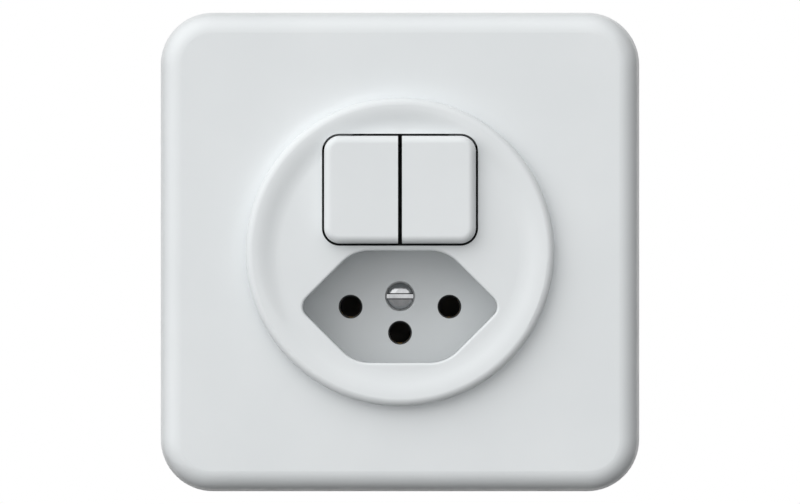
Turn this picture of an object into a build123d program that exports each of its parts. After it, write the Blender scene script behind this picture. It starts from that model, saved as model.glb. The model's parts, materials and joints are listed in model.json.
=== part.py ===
from build123d import *
from math import cos, hypot, radians, sin, sqrt, tan
import os

# A flush-mounted switch and socket combination. X runs to the right, Z up and Y into the wall.
# The origin is the centre of the cover plate on the wall's surface. A height is measured from
# there out into the room, so what lies in the wall box has a negative height. All sizes are in mm.

# Cover plate
plate_width = 92.0
plate_corner_radius = 10.0
plate_edge_radius = 3.5
plate_draft = 4.0
plate_wall = 2.0
collar_wall = 1.6
rib_thickness = 1.4
rib_bite = 0.2

# Round centre plate
ring_diameter = 60.0
ring_overlap = 2.6
bead_height = 3.4
bead_width = 1.35
foot_width = 0.45
foot_height = 0.5
flat_margin = 0.05
dish_depth = 0.75
disc_thickness = 2.0
skirt_wall = 1.2
skirt_depth = 5.0

# Outlet: plug pins, six-sided recess and centre screw
pin_spacing = 19.0
earth_drop = 5.0
socket_drop = 10.5
pin_hole_diameter = 4.6
recess_width = 37.2
recess_height = 21.46
recess_depth = 11.0
tip_radius = 2.3
shoulder_radius = 7.4
recess_rim_radius = 0.5
tub_wall = 1.5
tub_floor = 1.8
ledge_width = 1.0
ledge_thickness = 0.8
screw_rise = 2.0
screw_diameter = 3.0
screw_head_diameter = 5.1
screw_head_height = 1.4
screw_dome_radius = 5.0
screw_slot_width = 1.0
screw_slot_depth = 0.8
screw_seat_diameter = 5.75
screw_seat_depth = 1.1
screw_length = 10.5

# Switch keys and their window
window_width = 29.9
window_height = 21.45
window_corner_radius = 3.4
bridge_width = 0.97
key_gap = 0.43
key_split = 0.77
key_proud = 3.0
key_skirt = 4.8
key_edge_radius = 1.4
key_wall = 1.3
key_front = 1.6
key_rib_thickness = 1.0
key_rib_depth = 1.6
nose_length = 3.6
nose_radius = 1.0
nose_width = 4.0
key_tilt = 6.0
axle_diameter = 1.6
axle_inset = 2.6
axle_depth = 2.2
bearing_wall = 2.0
bearing_height = 4.4
bearing_depth = 2.6

# Steel mounting plate
mounting_width = 74.0
mounting_corner_radius = 6.0
sheet_thickness = 1.2
fold_height = 3.2
box_screw_spacing = 60.0
box_slot_length = 6.0
box_slot_width = 3.8
rivet_diameter = 3.0
rivet_head_diameter = 5.2
rivet_head_height = 0.9
rivet_head_chamfer = 0.4

# Pushers, strikers and return springs
pusher_inset = 5.8
stem_width = 4.4
stem_corner_radius = 0.8
stem_reach = 0.8
head_thickness = 1.2
guide_wall = 1.5
guide_depth = 3.0
striker_width = 3.0
striker_thickness = 0.5
striker_root = 2.0
striker_reach = 3.2
coil_wire = 0.5
coil_turns = 5.0
coil_room = 0.3
coil_side_room = 0.709

# Tumblers and their contact bridges
tumbler_tilt = 7.0
tumbler_width = 5.0
tumbler_arm = 5.5
arm_thickness = 1.6
arm_back = 1.2
horn_height = 2.4
horn_spread = 2.0
horn_root = 3.2
horn_clearance = 0.6
notch_clearance = 0.9
tumbler_pin_diameter = 1.8
post_wall = 1.6
post_width = 5.0
post_drop = 1.8
bridge_thickness = 0.4
bridge_strip_width = 4.0
tip_diameter = 2.4
tip_height = 0.5

# Fixed contacts, sleeves and wire terminals
strip_thickness = 0.5
strip_width = 3.0
contact_gap = 0.05
terminal_pitch = 5.6
terminal_depth = 8.6
wire_hole_diameter = 3.0
wire_funnel_diameter = 4.2
clamp_room = 2.3
clamp_thickness = 0.4
clamp_width = 2.6
clamp_height = 7.0
clamp_bend = 0.6
clamp_tongue = 4.0
sleeve_bore = 4.1
sleeve_wall = 0.65
sleeve_length = 14.0
sleeve_slot_width = 0.8
sleeve_slot_depth = 10.0
ring_width = 1.5
ring_wall = 0.5
ring_inset = 1.6

# Mechanism housing
deck_thickness = 2.0
base_wall = 1.5
base_floor_thickness = 2.0
base_corner_radius = 6.0
base_edge_chamfer = 1.0
partition_thickness = 1.2
divider_thickness = 0.8
housing_screw_diameter = 1.8
housing_screw_head = 3.6
housing_screw_head_height = 1.0
housing_screw_chamfer = 0.3
housing_screw_slot = 0.8
post_diameter = 4.4
post_bite = 0.5
pedestal_wall = 0.9
insert_diameter = 4.8
insert_length = 7.0
insert_boss_wall = 1.2
ear_width = 9.0

# Clearances
plate_clearance = 0.2
floor_gap = 0.45
running_clearance = 0.05
press_clearance = 0.02
slide_clearance = 0.15
side_clearance = 0.3
part_clearance = 0.4
pin_clearance = 0.4
rest_gap = 0.08

# Heights of the front pieces
sheet_front = sheet_thickness
tub_back = floor_gap
tub_front = tub_back + tub_floor
ledge_front = tub_back + ledge_thickness
disc_front = tub_front + recess_depth
disc_back = disc_front - disc_thickness
crest_front = disc_front + dish_depth
plate_front = crest_front - bead_height
key_face = disc_front + key_proud
key_back = disc_front - key_skirt
key_depth = key_face - key_back
axle_front = disc_front - axle_depth

# Places across the front
socket_z = -socket_drop
earth_z = socket_z - earth_drop
screw_z = socket_z + screw_rise
pin_x = pin_spacing / 2
window_bottom = socket_z + recess_height / 2 + bridge_width
window_z = window_bottom + window_height / 2
key_bottom = window_bottom + key_gap
key_top = window_bottom + window_height - key_gap
axle_z = key_top - axle_inset
pusher_z = key_bottom + pusher_inset
sides = {"left": -1, "right": 1}
pin_places = {"live": (-pin_x, socket_z), "neutral": (pin_x, socket_z), "earth": (0, earth_z)}

# Radii of the round centre plate, whose flat face takes in the recess with its rounded rim
corner_share = sqrt(2) - 1
bend_x = recess_width / 2 + (tip_radius - shoulder_radius) * corner_share - recess_height / 2
bend_z = socket_drop + recess_height / 2 - shoulder_radius
recess_reach = max(hypot(recess_width / 2, socket_drop), hypot(bend_x, bend_z) + shoulder_radius)
flat_radius = recess_reach + recess_rim_radius + flat_margin
ring_radius = ring_diameter / 2
crest_radius = ring_radius - foot_width - bead_width
opening_radius = ring_radius - ring_overlap
skirt_radius = opening_radius - plate_clearance

# Heights along the switch train, from the pusher's head to the tumbler's pivot
pusher_travel = (axle_z - pusher_z) * radians(key_tilt)
pusher_front = key_face - key_front - nose_length - rest_gap
head_back = pusher_front - head_thickness
deck_back = -deck_thickness
guide_back = deck_back - guide_depth
stem_back = guide_back - stem_reach
striker_tip = stem_back - striker_reach
tumbler_front = striker_tip - horn_height - horn_clearance
coil_radius = stem_width / sqrt(2) + coil_room
head_radius = coil_radius + coil_wire
mechanism_offset = window_width / 2 - key_gap - key_wall - head_radius - coil_side_room

# Heights of the contacts and the housing's floor
bridge_back = arm_back + bridge_thickness
tip_back = bridge_back + tip_height
tip_reach = tumbler_arm + tip_diameter / 2
pad_front = (
    tumbler_front
    - tip_back * cos(radians(tumbler_tilt))
    - tip_reach * sin(radians(tumbler_tilt))
    - contact_gap
)
common_front = tumbler_front - post_drop - contact_gap
sleeve_front = deck_back - part_clearance
sleeve_back = sleeve_front - sleeve_length
base_floor = min(pad_front, sleeve_back) - strip_thickness - terminal_depth
base_back = base_floor - base_floor_thickness

# Places of the sleeves, terminals and housing walls
sleeve_radius = sleeve_bore / 2 + sleeve_wall
pedestal_bore = sleeve_bore / 2 + pin_clearance
pedestal_radius = pedestal_bore + pedestal_wall
leg_z = -earth_z + pedestal_radius + part_clearance
terminal_z = leg_z + strip_thickness + wire_hole_diameter / 2
inner_half_height = terminal_z + clamp_room
base_height = 2 * (inner_half_height + base_wall)
inner_terminal = partition_thickness / 2 + part_clearance + strip_width / 2
terminal_offset = max(mechanism_offset, inner_terminal + terminal_pitch)
outer_terminal = terminal_offset + terminal_pitch
post_x = outer_terminal + strip_width / 2 + part_clearance + post_diameter / 2
inner_half_width = post_x + post_diameter / 2 - post_bite
base_width = 2 * (inner_half_width + base_wall)
partition_z = screw_z + insert_diameter / 2 + insert_boss_wall + part_clearance + partition_thickness / 2
mounting_opening = recess_reach + tub_wall + part_clearance
rivet_z = max(
    base_height / 2 + rivet_head_diameter / 2 + part_clearance,
    mounting_opening + rivet_diameter / 2 + part_clearance,
)
switch_terminals = [
    (side * (terminal_offset + step * terminal_pitch), terminal_z)
    for side in sides.values()
    for step in (-1, 0, 1)
]
socket_terminals = [(x, -terminal_z) for x, z in pin_places.values()]

os.makedirs("parts", exist_ok=True)


def at_height(height):
    """Plane parallel to the wall at a height; its x is X, its y is Z and it faces the room."""
    return Plane.XZ.offset(height)


def side_view(x, z=0.0, height=0.0, tilt=0.0):
    """Plane across X through a point; its x runs up, its y out to the room, turned by tilt degrees."""
    up = (0, -sin(radians(tilt)), cos(radians(tilt)))
    return Plane(origin=(x, -height, z), x_dir=up, z_dir=(1, 0, 0))


def front_view(x, z, height, tilt):
    """Plane that faces the room through a point, turned by tilt degrees about X."""
    out = (0, -cos(radians(tilt)), -sin(radians(tilt)))
    return Plane(origin=(x, -height, z), x_dir=(1, 0, 0), z_dir=out)


def save(piece, label):
    """Name a finished piece and write its file."""
    piece.part.label = label
    export_step(piece.part, f"parts/{label}.step")


def recess_outline(height, margin):
    """Six-sided outline of the recess with 45 degree sides, at a height and grown all round by margin."""
    half_height = recess_height / 2 + margin
    half_width = recess_width / 2 + tip_radius * corner_share + margin * sqrt(2)
    shoulder = half_width - half_height
    tip = tip_radius + margin
    bend = shoulder_radius + margin
    with BuildSketch(at_height(height)) as outline:
        with BuildLine():
            FilletPolyline(
                (half_width, socket_z),
                (shoulder, socket_z + half_height),
                (-shoulder, socket_z + half_height),
                (-half_width, socket_z),
                (-shoulder, socket_z - half_height),
                (shoulder, socket_z - half_height),
                radius=(tip, bend, bend, tip, bend, bend),
                close=True,
            )
        make_face()
    return outline.sketch


def key_outline(side, margin):
    """Outline of one key at its back, drawn in by margin: its half of the rounded pair, cut at the split."""
    with BuildSketch(at_height(key_back)) as outline:
        with Locations((0, window_z)):
            RectangleRounded(
                window_width - 2 * (key_gap + margin),
                window_height - 2 * (key_gap + margin),
                window_corner_radius - key_gap - margin,
            )
        with Locations((side * (key_split / 2 + margin + window_width / 2), window_z)):
            Rectangle(window_width, window_height, mode=Mode.INTERSECT)
    return outline.sketch


def terminal_leg(x, z, front):
    """Section of the leg in which a contact strip turns back to the housing's floor by a wire entry."""
    with BuildSketch(at_height(front)) as leg:
        with Locations((x, z)):
            Rectangle(strip_width, strip_thickness)
    return leg.sketch


# Square cover plate, open at the back, with a collar round its opening and a rib to each corner
with BuildPart() as cover_plate:
    with BuildSketch(at_height(0)):
        RectangleRounded(plate_width, plate_width, plate_corner_radius)
    extrude(amount=plate_front, taper=plate_draft)
    fillet(cover_plate.faces().sort_by(Axis.Y)[0].edges(), plate_edge_radius)
    with BuildSketch(at_height(0)):
        inner_width = plate_width - 2 * plate_wall
        inner_corner = plate_corner_radius - plate_wall
        RectangleRounded(inner_width, inner_width, inner_corner)
    extrude(amount=plate_front - plate_wall, taper=plate_draft, mode=Mode.SUBTRACT)
    fillet(cover_plate.faces().filter_by(Axis.Y).sort_by(Axis.Y)[1].edges(), plate_edge_radius - plate_wall)
    rib_back = fold_height + part_clearance
    inner_reach = (inner_width / 2 - inner_corner) * sqrt(2) + inner_corner
    rib_reach = inner_reach - rib_back * tan(radians(plate_draft)) + rib_bite
    with BuildSketch(at_height(plate_front - plate_wall / 2)):
        Circle(opening_radius + collar_wall)
        with PolarLocations(0, 2, start_angle=45, angular_range=180):
            Rectangle(2 * rib_reach, rib_thickness)
    extrude(amount=rib_back - plate_front + plate_wall / 2)
    with BuildSketch(at_height(plate_front)):
        Circle(opening_radius)
    extrude(amount=-plate_front, mode=Mode.SUBTRACT)
save(cover_plate, "cover_plate")


# Round centre plate: turned bead, dish and skirt, with the key window, the outlet's open tub and the bearings
with BuildPart() as centre_plate:
    with BuildSketch(Plane(origin=(0, 0, 0), x_dir=(1, 0, 0), z_dir=(0, 0, -1))):
        with BuildLine():
            dish_middle = ((flat_radius + crest_radius) / 2, (disc_front + crest_front) / 2)
            bead_radius = ring_radius - foot_width
            foot_front = plate_front + foot_height
            skirt_inner = skirt_radius - skirt_wall
            skirt_back = plate_front - skirt_depth
            Line((0, disc_front), (flat_radius, disc_front))
            rise = TangentArc((flat_radius, disc_front), dish_middle, tangent=(1, 0))
            TangentArc(dish_middle, (crest_radius, crest_front), tangent=rise % 1)
            TangentArc((crest_radius, crest_front), (bead_radius, crest_front - bead_width), tangent=(1, 0))
            Polyline(
                (bead_radius, crest_front - bead_width),
                (bead_radius, foot_front),
                (ring_radius, foot_front),
                (ring_radius, plate_front),
                (skirt_radius, plate_front),
                (skirt_radius, skirt_back),
                (skirt_inner, skirt_back),
                (skirt_inner, disc_back),
                (0, disc_back),
                (0, disc_front),
            )
        make_face()
    revolve(axis=Axis.Y)
    extrude(recess_outline(tub_back, tub_wall), amount=disc_front - disc_thickness / 2 - tub_back)
    with BuildSketch(at_height(disc_back)):
        with Locations((0, axle_z)):
            Rectangle(window_width + 2 * bearing_wall, bearing_height)
        Circle(skirt_radius, mode=Mode.INTERSECT)
    extrude(amount=axle_front - bearing_depth - disc_back)
    extrude(recess_outline(ledge_front, 0), amount=crest_front, mode=Mode.SUBTRACT)
    rim = centre_plate.faces().filter_by(Axis.Y).sort_by(Axis.Y)[0].inner_wires()[0].edges()
    fillet(rim, min(recess_rim_radius, bridge_width - press_clearance))
    with BuildSketch(at_height(tub_back)):
        with Locations((0, window_z)):
            RectangleRounded(window_width, window_height, window_corner_radius)
    extrude(amount=key_face, mode=Mode.SUBTRACT)
    with Locations(Plane(origin=(0, -axle_front, axle_z), z_dir=(1, 0, 0))):
        axle_length = window_width + 2 * bearing_wall
        Cylinder(axle_diameter / 2 + running_clearance, axle_length, mode=Mode.SUBTRACT)
    extrude(recess_outline(tub_back, -ledge_width), amount=tub_floor, mode=Mode.SUBTRACT)
save(centre_plate, "centre_plate")


# Floor of the outlet, stepped to lie on the tub's ledge, with the pin holes and the screw's seat
with BuildPart() as outlet_floor:
    extrude(recess_outline(tub_back, -ledge_width - running_clearance), amount=tub_floor)
    extrude(recess_outline(ledge_front, -press_clearance), amount=tub_front - ledge_front)
    with BuildSketch(at_height(tub_front)):
        with Locations(*pin_places.values()):
            Circle(pin_hole_diameter / 2)
        with Locations((0, screw_z)):
            Circle(screw_diameter / 2 + slide_clearance)
    extrude(amount=-tub_floor, mode=Mode.SUBTRACT)
    with BuildSketch(at_height(tub_front)):
        with Locations((0, screw_z)):
            Circle(screw_seat_diameter / 2)
    extrude(amount=-screw_seat_depth, mode=Mode.SUBTRACT)
save(outlet_floor, "outlet_floor")


# Slotted screw that draws the outlet's floor, the centre plate and the cover plate to the mechanism
with BuildPart() as centre_screw:
    screw_seat = tub_front - screw_seat_depth
    with BuildSketch(at_height(screw_seat)):
        with Locations((0, screw_z)):
            Circle(screw_head_diameter / 2)
    extrude(amount=screw_head_height)
    with Locations((0, screw_dome_radius - screw_seat - screw_head_height, screw_z)):
        Sphere(screw_dome_radius, mode=Mode.INTERSECT)
    with BuildSketch(at_height(screw_seat + screw_head_height)):
        with Locations((0, screw_z)):
            Rectangle(screw_head_diameter, screw_slot_width)
    extrude(amount=-screw_slot_depth, mode=Mode.SUBTRACT)
    with BuildSketch(at_height(screw_seat)):
        with Locations((0, screw_z)):
            Circle(screw_diameter / 2)
    extrude(amount=-screw_length)
save(centre_screw, "centre_screw")


# Hollow switch keys, bored for the axle, with a rounded nose that meets the pusher
for name, side in sides.items():
    with BuildPart() as key:
        extrude(key_outline(side, 0), amount=key_depth)
        front_edges = key.faces().sort_by(Axis.Y)[0].edges().sort_by(lambda edge: side * edge.center().X)
        fillet(front_edges[1:], key_edge_radius)
        extrude(key_outline(side, key_wall), amount=key_depth - key_front, mode=Mode.SUBTRACT)
        key_outer = window_width / 2 - key_gap
        key_inner = key_split / 2
        with BuildSketch(at_height(key_face - key_front)):
            with Locations((side * (key_outer + key_inner) / 2, pusher_z)):
                Rectangle(key_outer - key_inner - key_wall, key_rib_thickness)
        extrude(amount=-key_rib_depth)
        nose_centre = key_face - key_front - nose_length + nose_radius
        with BuildSketch(side_view(side * mechanism_offset)):
            with Locations((pusher_z, nose_centre)):
                Circle(nose_radius)
            with Locations((pusher_z, nose_centre + nose_length / 2)):
                Rectangle(2 * nose_radius, nose_length)
        extrude(amount=nose_width / 2, both=True)
        with Locations(Plane(origin=(0, -axle_front, axle_z), z_dir=(1, 0, 0))):
            Cylinder(axle_diameter / 2 + running_clearance, window_width, mode=Mode.SUBTRACT)
    save(key, f"{name}_key")


# Steel axle of both keys
with BuildPart() as key_axle:
    with BuildSketch(side_view(-axle_length / 2, axle_z, axle_front)):
        Circle(axle_diameter / 2)
    extrude(amount=axle_length)
save(key_axle, "key_axle")


# Folded steel mounting plate with a round opening, two box-screw slots and two rivet holes
with BuildPart() as mounting_plate:
    with BuildSketch(at_height(0)):
        RectangleRounded(mounting_width, mounting_width, mounting_corner_radius)
        Circle(mounting_opening, mode=Mode.SUBTRACT)
        with GridLocations(box_screw_spacing, 0, 2, 1):
            SlotOverall(box_slot_length, box_slot_width, mode=Mode.SUBTRACT)
        with GridLocations(0, 2 * rivet_z, 1, 2):
            Circle(rivet_diameter / 2, mode=Mode.SUBTRACT)
    extrude(amount=sheet_thickness)
    with BuildSketch(at_height(0)):
        with GridLocations(0, mounting_width - sheet_thickness, 1, 2):
            Rectangle(mounting_width - 2 * mounting_corner_radius, sheet_thickness)
    extrude(amount=fold_height)
save(mounting_plate, "mounting_plate")


# Two rivets through the mounting plate and the ears of the housing cover
with BuildPart() as mounting_rivets:
    with BuildSketch(at_height(deck_back)):
        with GridLocations(0, 2 * rivet_z, 1, 2):
            Circle(rivet_diameter / 2 - running_clearance)
    extrude(amount=sheet_front - deck_back)
    for start, reach in ((sheet_front, rivet_head_height), (deck_back, -rivet_head_height)):
        with BuildSketch(at_height(start)):
            with GridLocations(0, 2 * rivet_z, 1, 2):
                Circle(rivet_head_diameter / 2)
        extrude(amount=reach)
    front_rims = mounting_rivets.edges().group_by(Axis.Y)[0]
    chamfer(front_rims, rivet_head_chamfer)
save(mounting_rivets, "mounting_rivets")


# Housing cover: deck with ears, pusher guides, tumbler posts, pin passages and the boss of the insert
with BuildPart() as housing_cover:
    with BuildSketch(at_height(0)):
        RectangleRounded(base_width, base_height, base_corner_radius)
        Rectangle(ear_width, 2 * rivet_z)
        with GridLocations(0, 2 * rivet_z, 1, 2):
            Circle(ear_width / 2)
            Circle(rivet_diameter / 2, mode=Mode.SUBTRACT)
    extrude(amount=deck_back)
    guide_width = stem_width + 2 * slide_clearance
    with BuildSketch(at_height(deck_back)):
        with GridLocations(2 * mechanism_offset, 0, 2, 1):
            with Locations((0, pusher_z)):
                RectangleRounded(guide_width + 2 * guide_wall, guide_width + 2 * guide_wall, guide_wall)
    extrude(amount=-guide_depth)
    post_reach = tumbler_width / 2 + side_clearance
    with BuildSketch(at_height(deck_back)):
        for side in sides.values():
            for step in (-1, 1):
                with Locations((side * mechanism_offset + step * (post_reach + post_wall / 2), pusher_z)):
                    Rectangle(post_wall, post_width)
    extrude(amount=tumbler_front - post_drop - deck_back)
    with BuildSketch(at_height(deck_back)):
        with Locations((0, screw_z)):
            Circle(insert_diameter / 2 + insert_boss_wall)
    extrude(amount=-insert_length)
    with BuildSketch(at_height(0)):
        with GridLocations(2 * mechanism_offset, 0, 2, 1):
            with Locations((0, pusher_z)):
                RectangleRounded(guide_width, guide_width, stem_corner_radius)
        with Locations(*pin_places.values()):
            Circle(sleeve_bore / 2)
        with Locations((0, screw_z)):
            Circle(insert_diameter / 2 + press_clearance)
        with GridLocations(2 * post_x, 0, 2, 1):
            Circle(housing_screw_diameter / 2 + running_clearance)
    extrude(amount=deck_back - insert_length, mode=Mode.SUBTRACT)
    for side in sides.values():
        with Locations(Plane(origin=(side * mechanism_offset, -tumbler_front, pusher_z), z_dir=(1, 0, 0))):
            pin_length = 2 * (post_reach + post_wall)
            Cylinder(tumbler_pin_diameter / 2 + running_clearance, pin_length, mode=Mode.SUBTRACT)
save(housing_cover, "housing_cover")


# Brass insert in the cover's boss, which takes the centre screw
with BuildPart() as threaded_insert:
    with BuildSketch(at_height(deck_back)):
        with Locations((0, screw_z)):
            Circle(insert_diameter / 2)
            Circle(screw_diameter / 2 + running_clearance, mode=Mode.SUBTRACT)
    extrude(amount=-insert_length)
save(threaded_insert, "threaded_insert")


# Housing base: tube with the partitions between the switches and the sleeves, and two screw posts
with BuildPart() as housing_base:
    upper_wall = inner_half_height - partition_z
    lower_wall = inner_half_height + partition_z
    lower_z = partition_z - lower_wall / 2
    with BuildSketch(at_height(base_floor)):
        RectangleRounded(base_width, base_height, base_corner_radius)
        RectangleRounded(
            2 * inner_half_width,
            2 * inner_half_height,
            base_corner_radius - base_wall,
            mode=Mode.SUBTRACT,
        )
        with Locations((0, partition_z)):
            Rectangle(2 * inner_half_width + base_wall, partition_thickness)
        with Locations((0, partition_z + upper_wall / 2)):
            Rectangle(partition_thickness, upper_wall + base_wall)
        with Locations((-pin_x / 2, lower_z), (pin_x / 2, lower_z)):
            Rectangle(divider_thickness, lower_wall + base_wall)
        with GridLocations(2 * post_x, 0, 2, 1):
            Circle(post_diameter / 2)
            Circle(housing_screw_diameter / 2 + running_clearance, mode=Mode.SUBTRACT)
    extrude(amount=deck_back - base_floor)
save(housing_base, "housing_base")


# Back plate of the housing: funnelled wire entries, walls between the switch terminals, sleeve pedestals
with BuildPart() as housing_back:
    with BuildSketch(at_height(base_floor)):
        RectangleRounded(base_width, base_height, base_corner_radius)
    extrude(amount=-base_floor_thickness)
    chamfer(housing_back.faces().sort_by(Axis.Y)[-1].edges(), base_edge_chamfer)
    divider_room = inner_half_height - part_clearance - leg_z
    with BuildSketch(at_height(base_floor)):
        for side in sides.values():
            for step in (-1, 1):
                divider_x = side * (terminal_offset + step * terminal_pitch / 2)
                with Locations((divider_x, leg_z + divider_room / 2)):
                    Rectangle(divider_thickness, divider_room)
    extrude(amount=clamp_height)
    with BuildSketch(at_height(base_floor)):
        with Locations(*pin_places.values()):
            Circle(pedestal_radius)
            Circle(pedestal_bore, mode=Mode.SUBTRACT)
    extrude(amount=sleeve_back - strip_thickness - press_clearance - base_floor)
    with BuildSketch(at_height(base_floor)):
        with GridLocations(2 * post_x, 0, 2, 1):
            Circle(housing_screw_diameter / 2 + running_clearance)
    extrude(amount=-base_floor_thickness, mode=Mode.SUBTRACT)
    entries = [
        Plane(origin=(x, -base_back, z), z_dir=(0, 1, 0)) for x, z in switch_terminals + socket_terminals
    ]
    with Locations(*entries):
        CounterSinkHole(wire_hole_diameter / 2, wire_funnel_diameter / 2, base_floor_thickness)
save(housing_back, "housing_back")


# Two long screws that clamp the cover, the base and the back plate together
with BuildPart() as housing_screws:
    with BuildSketch(at_height(0)):
        with GridLocations(2 * post_x, 0, 2, 1):
            Circle(housing_screw_head / 2)
    extrude(amount=housing_screw_head_height)
    chamfer(housing_screws.edges().group_by(Axis.Y)[0], housing_screw_chamfer)
    with BuildSketch(at_height(housing_screw_head_height)):
        with GridLocations(2 * post_x, 0, 2, 1):
            Rectangle(housing_screw_head, housing_screw_slot)
    extrude(amount=-housing_screw_head_height / 2, mode=Mode.SUBTRACT)
    with BuildSketch(at_height(0)):
        with GridLocations(2 * post_x, 0, 2, 1):
            Circle(housing_screw_diameter / 2)
    extrude(amount=base_back + part_clearance)
save(housing_screws, "housing_screws")


# Pushers: a stem in the cover's guide with a round head under the key's nose
for name, side in sides.items():
    middle = (side * mechanism_offset, pusher_z)
    with BuildPart() as pusher:
        with BuildSketch(at_height(pusher_front)):
            with Locations(middle):
                Circle(head_radius)
        extrude(amount=-head_thickness)
        with BuildSketch(at_height(head_back)):
            with Locations(middle):
                RectangleRounded(stem_width, stem_width, stem_corner_radius)
        extrude(amount=stem_back - head_back)
        with BuildSketch(at_height(stem_back)):
            with Locations(middle):
                Rectangle(striker_width + 2 * press_clearance, striker_thickness + 2 * press_clearance)
        extrude(amount=striker_root, mode=Mode.SUBTRACT)
    save(pusher, f"{name}_pusher")


# Leaf-spring strikers, pressed into the stems
for name, side in sides.items():
    with BuildPart() as striker:
        with BuildSketch(at_height(stem_back + striker_root)):
            with Locations((side * mechanism_offset, pusher_z)):
                Rectangle(striker_width, striker_thickness)
        extrude(amount=-striker_root - striker_reach)
    save(striker, f"{name}_striker")


# Return springs between the deck and the pushers' heads
for name, side in sides.items():
    with BuildPart() as return_spring:
        coil_length = head_back - coil_wire - 2 * press_clearance
        coil_start = (side * mechanism_offset, -coil_wire / 2 - press_clearance, pusher_z)
        with BuildLine() as coil:
            Helix(coil_length / coil_turns, coil_length, coil_radius + coil_wire / 2, coil_start, (0, -1, 0))
        with BuildSketch(Plane(origin=coil.line @ 0, z_dir=coil.line % 0)):
            Rectangle(coil_wire, coil_wire)
        sweep(path=coil.line, is_frenet=True)
    save(return_spring, f"{name}_return_spring")


# Tumblers: see-saws with two horns round a notch, tipped on to the upper contact at rest
for name, side in sides.items():
    x = side * mechanism_offset
    notch_root = horn_height + horn_clearance - pusher_travel - notch_clearance
    arm_front = arm_thickness - arm_back
    with BuildPart() as tumbler:
        with BuildSketch(side_view(x, pusher_z, tumbler_front, -tumbler_tilt)):
            with BuildLine():
                Polyline(
                    (-tip_reach, -arm_back),
                    (tip_reach, -arm_back),
                    (tip_reach, arm_front),
                    (horn_root, arm_front),
                    (horn_spread, horn_height),
                    (0, notch_root),
                    (-horn_spread, horn_height),
                    (-horn_root, arm_front),
                    (-tip_reach, arm_front),
                    close=True,
                )
            make_face()
        extrude(amount=tumbler_width / 2, both=True)
        with BuildSketch(side_view(x, pusher_z, tumbler_front)):
            Circle(tumbler_pin_diameter / 2)
        extrude(amount=post_reach + post_wall, both=True)
    save(tumbler, f"{name}_tumbler")


# Contact bridges on the backs of the tumblers, with a round tip at each end
for name, side in sides.items():
    arm_view = front_view(side * mechanism_offset, pusher_z, tumbler_front, -tumbler_tilt)
    with BuildPart() as contact_bridge:
        with BuildSketch(arm_view.offset(-arm_back)):
            Rectangle(bridge_strip_width, 2 * tip_reach)
        extrude(amount=-bridge_thickness)
        with BuildSketch(arm_view.offset(-bridge_back)):
            with GridLocations(0, 2 * tumbler_arm, 1, 2):
                Circle(tip_diameter / 2)
        extrude(amount=-tip_height)
    save(contact_bridge, f"{name}_contact_bridge")


# Fixed contacts of the switches: each strip runs from its contact place up to a leg in its terminal
for name, side in sides.items():
    leg_centre = leg_z + strip_thickness / 2
    for kind, step, start_z, front in (
        ("common", -1, pusher_z, common_front),
        ("upper", 0, pusher_z + tumbler_arm, pad_front),
        ("lower", 1, pusher_z - tumbler_arm, pad_front),
    ):
        start_x = side * mechanism_offset
        leg_x = side * (terminal_offset + step * terminal_pitch)
        with BuildPart() as contact:
            with BuildSketch(at_height(front)):
                with Locations(((start_x + leg_x) / 2, start_z)):
                    Rectangle(abs(leg_x - start_x) + strip_width, strip_width)
                with Locations((leg_x, (start_z + leg_z + strip_thickness) / 2)):
                    Rectangle(strip_width, leg_z + strip_thickness - start_z)
            extrude(amount=-strip_thickness)
            extrude(terminal_leg(leg_x, leg_centre, front), amount=base_floor - front)
        save(contact, f"{name}_{kind}_contact")


# Contact sleeves for the plug's pins, slit so that they grip, each with a strip to its terminal
for name, (x, z) in pin_places.items():
    with BuildPart() as sleeve:
        with BuildSketch(at_height(sleeve_back)):
            with Locations((x, z)):
                Circle(sleeve_radius)
        extrude(amount=sleeve_length)
        with BuildSketch(at_height(sleeve_front)):
            with Locations((x, z)):
                Rectangle(sleeve_slot_width, 2 * sleeve_radius)
        extrude(amount=-sleeve_slot_depth, mode=Mode.SUBTRACT)
        with BuildSketch(at_height(sleeve_back)):
            with Locations((x, z)):
                Circle(pedestal_radius)
            with Locations((x, (z - leg_z - strip_thickness) / 2)):
                Rectangle(strip_width, leg_z + strip_thickness + z)
        extrude(amount=-strip_thickness)
        with BuildSketch(at_height(sleeve_front)):
            with Locations((x, z)):
                Circle(sleeve_bore / 2)
        extrude(amount=-sleeve_length - strip_thickness, mode=Mode.SUBTRACT)
        extrude(terminal_leg(x, -leg_centre, sleeve_back), amount=base_floor - sleeve_back)
    save(sleeve, f"{name}_contact")


# Spring rings round the sleeves
with BuildPart() as grip_rings:
    with BuildSketch(at_height(sleeve_front - ring_inset)):
        with Locations(*pin_places.values()):
            Circle(sleeve_radius + press_clearance + ring_wall)
            Circle(sleeve_radius + press_clearance, mode=Mode.SUBTRACT)
    extrude(amount=-ring_width)
save(grip_rings, "grip_rings")


# Push-in wire clamps: a leg along the housing's wall and a tongue that leans on the contact strip
with BuildPart() as clamp_springs:
    wall_line = inner_half_height - clamp_thickness / 2
    clamp_top = base_floor + clamp_height
    for x, z in switch_terminals + socket_terminals:
        row = 1 if z > 0 else -1
        with BuildSketch(side_view(x)):
            with BuildLine():
                FilletPolyline(
                    (row * wall_line, base_floor),
                    (row * wall_line, clamp_top),
                    (row * terminal_z, clamp_top),
                    (row * (leg_z + strip_thickness + clamp_thickness), clamp_top - clamp_tongue),
                    radius=clamp_bend,
                )
            trace(line_width=clamp_thickness)
        extrude(amount=clamp_width / 2, both=True)
save(clamp_springs, "clamp_springs")
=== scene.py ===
import json

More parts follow.
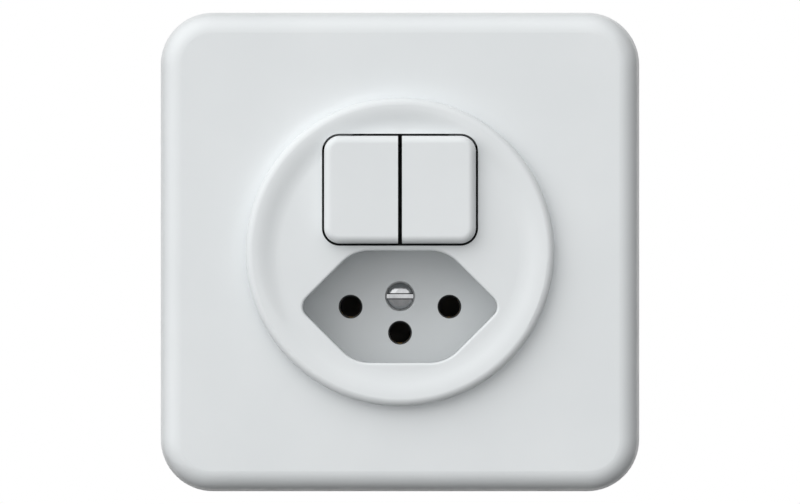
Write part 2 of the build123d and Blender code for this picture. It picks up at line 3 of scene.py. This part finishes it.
import bpy
import numpy as np
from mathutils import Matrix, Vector


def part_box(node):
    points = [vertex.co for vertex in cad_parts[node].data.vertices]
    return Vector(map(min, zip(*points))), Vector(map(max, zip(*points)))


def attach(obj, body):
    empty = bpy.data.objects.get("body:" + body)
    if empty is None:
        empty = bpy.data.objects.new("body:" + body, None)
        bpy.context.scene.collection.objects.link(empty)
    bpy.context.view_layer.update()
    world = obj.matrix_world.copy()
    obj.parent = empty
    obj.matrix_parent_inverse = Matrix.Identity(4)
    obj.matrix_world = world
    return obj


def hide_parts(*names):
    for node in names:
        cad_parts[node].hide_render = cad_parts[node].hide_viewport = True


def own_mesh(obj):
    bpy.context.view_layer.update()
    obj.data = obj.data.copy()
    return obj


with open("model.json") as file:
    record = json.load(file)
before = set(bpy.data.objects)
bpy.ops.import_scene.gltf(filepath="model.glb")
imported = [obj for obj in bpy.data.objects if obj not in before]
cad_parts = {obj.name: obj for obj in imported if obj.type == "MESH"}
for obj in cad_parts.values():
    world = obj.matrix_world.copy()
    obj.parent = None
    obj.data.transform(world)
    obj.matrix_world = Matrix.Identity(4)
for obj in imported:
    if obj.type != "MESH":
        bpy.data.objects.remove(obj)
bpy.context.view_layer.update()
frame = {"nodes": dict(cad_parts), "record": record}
nodes = frame["nodes"]

# The photograph's frame and scale: the plate is seen straight on with a long lens
IMAGE_WIDTH = 800
PIXELS_PER_MM = 5.2
CAMERA_DISTANCE = 3.0
CAMERA_CLIP_END = 20.0
SENSOR_WIDTH = 36.0

# Pale floor below the unit, in metres, and the even light that reaches everything
FLOOR_Z = -0.25
FLOOR_REACH = 3.0
EVEN_LIGHT = 0.10

# Linear colours of the white plastic, and how far the outlet's floor is darkened as painted shade of its
# recess
WHITE_DULL = np.array([0.755, 0.783, 0.795])
WHITE_CLEAN = np.array([0.785, 0.811, 0.822])
OUTLET_FLOOR_PAINTED_SHADE = 0.69

# Centre screw, in metres: the slot runs along X across the front of the head
SCREW_SLOT_WIDTH = 0.001
SCREW_SLOT_DEPTH = 0.0008
SLOT_PAINTED_SHADE = (0.00006, 0.00014)  # from an edge of the slot: painted shade up to the first, none from the second

# Return springs, in metres: the wire is round, and the coil fills the box of its CAD node
SPRING_WIRE = 0.0005
SPRING_TURNS = 5
STEPS_PER_TURN = 48
WIRE_SIDES = 12


def srgb(red, green, blue):
    """Linear colour, with alpha, of a colour written in 8-bit sRGB."""
    c = np.array([red, green, blue]) / 255.0
    linear = np.where(c <= 0.04045, c / 12.92, ((c + 0.055) / 1.055) ** 2.4)
    return (*linear.tolist(), 1.0)


class Finish:
    """A material under construction: adds nodes and links them in one line each."""

    def __init__(self, name):
        self.material = bpy.data.materials.new(name)
        self.material.use_nodes = True
        self.tree = self.material.node_tree
        self.shader = self.tree.nodes["Principled BSDF"]
        self.place = self.add("ShaderNodeTexCoord").outputs["Object"]

    def add(self, kind, **settings):
        node = self.tree.nodes.new(kind)
        for key, value in settings.items():
            setattr(node, key, value)
        return node

    def link(self, output, socket):
        self.tree.links.new(output, socket)

    def set(self, **values):
        for key, value in values.items():
            self.shader.inputs[key.replace("_", " ")].default_value = value

    def noise(self, scale, detail=2.0, rough=0.5, stretch=(1.0, 1.0, 1.0)):
        """Noise over Object coordinates; scale is waves per metre, stretch squeezes it along an axis."""
        mapping = self.add("ShaderNodeMapping")
        mapping.inputs["Scale"].default_value = stretch
        self.link(self.place, mapping.inputs["Vector"])
        node = self.add("ShaderNodeTexNoise")
        node.inputs["Scale"].default_value = scale
        node.inputs["Detail"].default_value = detail
        node.inputs["Roughness"].default_value = rough
        self.link(mapping.outputs["Vector"], node.inputs["Vector"])
        return node.outputs["Fac"]

    def ramp(self, value, stops):
        """Colour ramp through (position, colour) stops."""
        node = self.add("ShaderNodeValToRGB")
        while len(node.color_ramp.elements) < len(stops):
            node.color_ramp.elements.new(0.5)
        for element, (position, colour) in zip(node.color_ramp.elements, stops):
            element.position = position
            element.color = colour
        self.link(value, node.inputs["Fac"])
        return node.outputs["Color"]

    def math(self, operation, first, second=0.0):
        """Result of one Math node on a socket and a number or a second socket."""
        node = self.add("ShaderNodeMath", operation=operation)
        self.link(first, node.inputs[0])
        if isinstance(second, float):
            node.inputs[1].default_value = second
        else:
            self.link(second, node.inputs[1])
        return node.outputs["Value"]

    def spread(self, value, low, high, within=(0.0, 1.0)):
        """Carry a value from the range within to the range from low to high, and hold it there."""
        node = self.add("ShaderNodeMapRange")
        node.inputs["From Min"].default_value, node.inputs["From Max"].default_value = within
        node.inputs["To Min"].default_value = low
        node.inputs["To Max"].default_value = high
        self.link(value, node.inputs["Value"])
        return node.outputs["Result"]

    def bump(self, height, distance, strength=1.0):
        """Bump of a height map, distance in metres, on top of any bump set before."""
        node = self.add("ShaderNodeBump")
        node.inputs["Distance"].default_value = distance
        node.inputs["Strength"].default_value = strength
        self.link(height, node.inputs["Height"])
        before = self.shader.inputs["Normal"].links
        if before:
            self.link(before[0].from_socket, node.inputs["Normal"])
        self.link(node.outputs["Normal"], self.shader.inputs["Normal"])


def white_moulding(name, shade):
    """Smooth moulded plastic in the plate's cool white times shade.

    The tone is clouded, the gloss uneven, and the bump is a fine tool texture.
    """
    finish = Finish(name)
    dull = (*(WHITE_DULL * shade).tolist(), 1.0)
    clean = (*(WHITE_CLEAN * shade).tolist(), 1.0)
    tone = finish.ramp(finish.noise(45.0, 3.0), [(0.3, dull), (0.7, clean)])
    finish.link(tone, finish.shader.inputs["Base Color"])
    finish.link(finish.spread(finish.noise(160.0, 4.0), 0.30, 0.44), finish.shader.inputs["Roughness"])
    finish.set(IOR=1.49, Specular_IOR_Level=0.2)
    finish.bump(finish.noise(5200.0, 2.0), 0.000004)
    return finish.material


def dark_moulding():
    """Dark grey housing plastic with a fine eroded grain and paler patches."""
    finish = Finish("dark_moulding")
    tone = finish.ramp(finish.noise(140.0, 4.0), [(0.3, srgb(38, 39, 41)), (0.75, srgb(52, 53, 56))])
    finish.link(tone, finish.shader.inputs["Base Color"])
    finish.link(finish.spread(finish.noise(600.0, 3.0), 0.42, 0.62), finish.shader.inputs["Roughness"])
    finish.bump(finish.noise(2600.0, 3.0), 0.00002)
    return finish.material


def grey_moulding():
    """Light grey bearing plastic of the sliders and see-saws."""
    finish = Finish("grey_moulding")
    tone = finish.ramp(finish.noise(220.0, 3.0), [(0.3, srgb(176, 179, 181)), (0.75, srgb(196, 198, 200))])
    finish.link(tone, finish.shader.inputs["Base Color"])
    finish.link(finish.spread(finish.noise(500.0, 3.0), 0.35, 0.5), finish.shader.inputs["Roughness"])
    finish.bump(finish.noise(4000.0, 2.0), 0.000008)
    return finish.material


def metal(name, dull, bright, rough, grain, stretch=(1.0, 1.0, 1.0), depth=0.000004):
    """Bare or plated metal: clouds from dull to bright, uneven gloss, and a grain drawn out by stretch."""
    finish = Finish(name)
    tone = finish.ramp(finish.noise(260.0, 5.0, 0.6), [(0.25, dull), (0.75, bright)])
    finish.link(tone, finish.shader.inputs["Base Color"])
    finish.set(Metallic=1.0)
    gloss = finish.spread(finish.noise(grain, 4.0, 0.6, stretch), *rough)
    finish.link(gloss, finish.shader.inputs["Roughness"])
    finish.bump(finish.noise(grain, 3.0, 0.6, stretch), depth)
    return finish.material


def screw_with_painted_slot_shade():
    """Polished steel, with painted shade in a near-black line along both edges of the slot."""
    finish = Finish("screw_with_painted_slot_shade")
    low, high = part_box("centre_screw")
    place = finish.add("ShaderNodeSeparateXYZ")
    finish.link(finish.place, place.inputs["Vector"])
    above = finish.math("SUBTRACT", place.outputs["Z"], (low[2] + high[2]) / 2)
    from_middle = finish.math("ABSOLUTE", above)
    from_edge = finish.math("ABSOLUTE", finish.math("SUBTRACT", from_middle, SCREW_SLOT_WIDTH / 2))
    behind_slot = finish.math("GREATER_THAN", place.outputs["Y"], low[1] + SCREW_SLOT_DEPTH)
    # Painted shade: the steel turns near-black along both edges of the slot, standing in for the shade of
    # the slot walls
    clean = finish.math("MAXIMUM", finish.spread(from_edge, 0.0, 1.0, SLOT_PAINTED_SHADE), behind_slot)
    clouds = finish.noise(260.0, 5.0, 0.6)
    steel = finish.ramp(clouds, [(0.25, srgb(122, 123, 125)), (0.75, srgb(162, 163, 164))])
    tone = finish.add("ShaderNodeMixRGB")
    tone.inputs["Color1"].default_value = srgb(24, 24, 25)
    finish.link(clean, tone.inputs["Fac"])
    finish.link(steel, tone.inputs["Color2"])
    finish.link(tone.outputs["Color"], finish.shader.inputs["Base Color"])
    finish.set(Metallic=1.0)
    grain = finish.noise(1800.0, 4.0, 0.6, (0.2, 1.0, 1.0))
    finish.link(finish.spread(grain, 0.08, 0.20), finish.shader.inputs["Roughness"])
    finish.bump(grain, 0.000004)
    return finish.material


finishes = {
    "white_plastic": white_moulding("white_moulding", 1.0),
    "dark_plastic": dark_moulding(),
    "grey_plastic": grey_moulding(),
    "zinc_steel": metal(
        "zinc_plating", srgb(150, 154, 158), srgb(190, 193, 195), (0.3, 0.48), 900.0, (0.08, 1, 1)
    ),
    "nickel_steel": metal(
        "nickel_plating", srgb(150, 150, 149), srgb(205, 205, 203), (0.12, 0.24), 1800.0
    ),
    # Near-black steel: its dark tone is painted shade of the keys' gap, where the axle shows
    "black_steel": metal(
        "dark_steel_painted_shade", srgb(20, 20, 21), srgb(32, 32, 33), (0.5, 0.7), 1500.0, (0.1, 1, 1)
    ),
    "brass": metal(
        "rolled_brass", srgb(176, 138, 66), srgb(214, 178, 98), (0.22, 0.38), 1200.0, (1, 0.1, 1)
    ),
    "bronze": metal(
        "rolled_bronze", srgb(170, 112, 70), srgb(204, 146, 98), (0.22, 0.38), 1200.0, (1, 1, 0.1)
    ),
    "spring_steel": metal(
        "spring_steel", srgb(146, 146, 146), srgb(188, 188, 187), (0.22, 0.4), 1500.0, (1, 0.1, 1)
    ),
}
for piece in frame["record"]["subparts"]:
    node = nodes[piece["node"]]
    node.data.materials.clear()
    node.data.materials.append(finishes[piece["material_slot"]])
# The outlet's floor is the same white plastic, darkened: painted shade of the deep recess
nodes["outlet_floor"].data.materials[0] = white_moulding("outlet_floor_painted_shade", OUTLET_FLOOR_PAINTED_SHADE)
nodes["centre_screw"].data.materials[0] = screw_with_painted_slot_shade()


def return_spring(side):
    """Coil spring that fills the box of its CAD node, fixed to the frame.

    A circle is carried along a helix: the path goes round the coil's axis at one radius while it climbs
    evenly along Y, and at each step the circle lies across the path, on the outward direction and its
    normal. A disc closes each end.
    """
    low, high = (np.array(corner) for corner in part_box(f"{side}_return_spring"))
    middle = (low + high) / 2
    radius = (high[0] - low[0] - SPRING_WIRE) / 2
    steps = SPRING_TURNS * STEPS_PER_TURN + 1
    turn = np.linspace(0.0, 2 * np.pi * SPRING_TURNS, steps)
    climb = np.linspace(high[1] - SPRING_WIRE / 2, low[1] + SPRING_WIRE / 2, steps)
    outward = np.stack([np.cos(turn), np.zeros(steps), np.sin(turn)], axis=1)
    path = middle * (1, 0, 1) + outward * radius + climb[:, None] * (0, 1, 0)
    along = np.gradient(path, axis=0)
    along /= np.linalg.norm(along, axis=1, keepdims=True)
    across = np.cross(along, outward)
    angle = np.linspace(0.0, 2 * np.pi, WIRE_SIDES, endpoint=False)[None, :, None]
    wire = np.cos(angle) * outward[:, None, :] + np.sin(angle) * across[:, None, :]
    points = path[:, None, :] + wire * SPRING_WIRE / 2
    row = np.arange(steps - 1)[:, None] * WIRE_SIDES
    column = np.arange(WIRE_SIDES)[None, :]
    beside = (column + 1) % WIRE_SIDES
    near, near_beside = row + column, row + beside
    quads = np.stack([near, near_beside, near_beside + WIRE_SIDES, near + WIRE_SIDES], axis=2)
    first_end = np.arange(WIRE_SIDES)[::-1]
    last_end = np.arange(WIRE_SIDES) + (steps - 1) * WIRE_SIDES
    faces = quads.reshape(-1, 4).tolist() + [first_end.tolist(), last_end.tolist()]
    mesh = bpy.data.meshes.new(f"{side}_coil")
    mesh.from_pydata(points.reshape(-1, 3).tolist(), [], faces)
    mesh.polygons.foreach_set("use_smooth", np.arange(len(faces)) < len(faces) - 2)
    mesh.materials.append(finishes["spring_steel"])
    coil = bpy.data.objects.new(f"{side}_coil", mesh)
    bpy.context.collection.objects.link(coil)
    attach(coil, "frame")
    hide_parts(f"{side}_return_spring")
    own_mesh(coil)


return_spring("left")
return_spring("right")


def lamp(name, towards, irradiance, angle, glint=True):
    """Soft sun that shines towards a direction; irradiance 1 shows a colour as it is written.

    Without glint it isn't mirrored in metal.
    """
    light = bpy.data.lights.new(name, "SUN")
    light.energy = irradiance * np.pi
    light.angle = np.radians(angle)
    sun = bpy.data.objects.new(name, light)
    sun.rotation_euler = Vector(towards).to_track_quat("-Z", "Y").to_euler()
    sun.visible_glossy = glint
    bpy.context.collection.objects.link(sun)


lamp("window_light", (0.35, 0.82, -0.45), 0.83, 120.0)
lamp("sky_light", (0.55, 0.55, -0.63), 0.26, 60.0)
lamp("back_light", (0.0, -1.0, 0.0), 0.70, 4.0, glint=False)

# The world is white to the eye, in reflections and through glass, and a faint even light for the rest
world = bpy.data.worlds.new("studio")
bpy.context.scene.world = world
world.use_nodes = True
tree = world.node_tree
tree.nodes.clear()
ray = tree.nodes.new("ShaderNodeLightPath")
seen = tree.nodes.new("ShaderNodeMath")
seen.operation = "MAXIMUM"
tree.links.new(ray.outputs["Is Camera Ray"], seen.inputs[0])
tree.links.new(ray.outputs["Is Glossy Ray"], seen.inputs[1])
shown = tree.nodes.new("ShaderNodeMath")
shown.operation = "MAXIMUM"
tree.links.new(seen.outputs["Value"], shown.inputs[0])
tree.links.new(ray.outputs["Is Transmission Ray"], shown.inputs[1])
level = tree.nodes.new("ShaderNodeMapRange")
level.inputs["To Min"].default_value = EVEN_LIGHT
level.inputs["To Max"].default_value = 1.0
tree.links.new(shown.outputs["Value"], level.inputs["Value"])
background = tree.nodes.new("ShaderNodeBackground")
background.inputs["Color"].default_value = (1, 1, 1, 1)
tree.links.new(level.outputs["Result"], background.inputs["Strength"])
output = tree.nodes.new("ShaderNodeOutputWorld")
tree.links.new(background.outputs["Background"], output.inputs["Surface"])

# Plain pale floor well below the unit, which hangs as it would on its wall
floor_mesh = bpy.data.meshes.new("floor")
corners = np.array([(-1, -1, 0), (1, -1, 0), (1, 1, 0), (-1, 1, 0)]) * FLOOR_REACH + (0, 0, FLOOR_Z)
floor_mesh.from_pydata(corners.tolist(), [], [(0, 1, 2, 3)])
floor = bpy.data.objects.new("floor", floor_mesh)
bpy.context.collection.objects.link(floor)
floor_finish = Finish("pale_floor")
pale_tones = [(0.3, (0.90, 0.90, 0.90, 1)), (0.7, (0.93, 0.93, 0.93, 1))]
pale = floor_finish.ramp(floor_finish.noise(6.0), pale_tones)
floor_finish.link(pale, floor_finish.shader.inputs["Base Color"])
floor_finish.set(Roughness=0.7)
floor_mesh.materials.append(floor_finish.material)
floor.visible_diffuse = False

camera_data = bpy.data.cameras.new("camera")
camera_data.sensor_width = SENSOR_WIDTH
camera_data.lens = SENSOR_WIDTH * CAMERA_DISTANCE * 1000.0 / (IMAGE_WIDTH / PIXELS_PER_MM)
camera_data.clip_end = CAMERA_CLIP_END
camera = bpy.data.objects.new("camera", camera_data)
camera.location = (0.0, -CAMERA_DISTANCE, 0.0)
camera.rotation_euler = (np.radians(90.0), 0.0, 0.0)
bpy.context.collection.objects.link(camera)
bpy.context.scene.camera = camera
bpy.context.scene.view_settings.view_transform = "Standard"
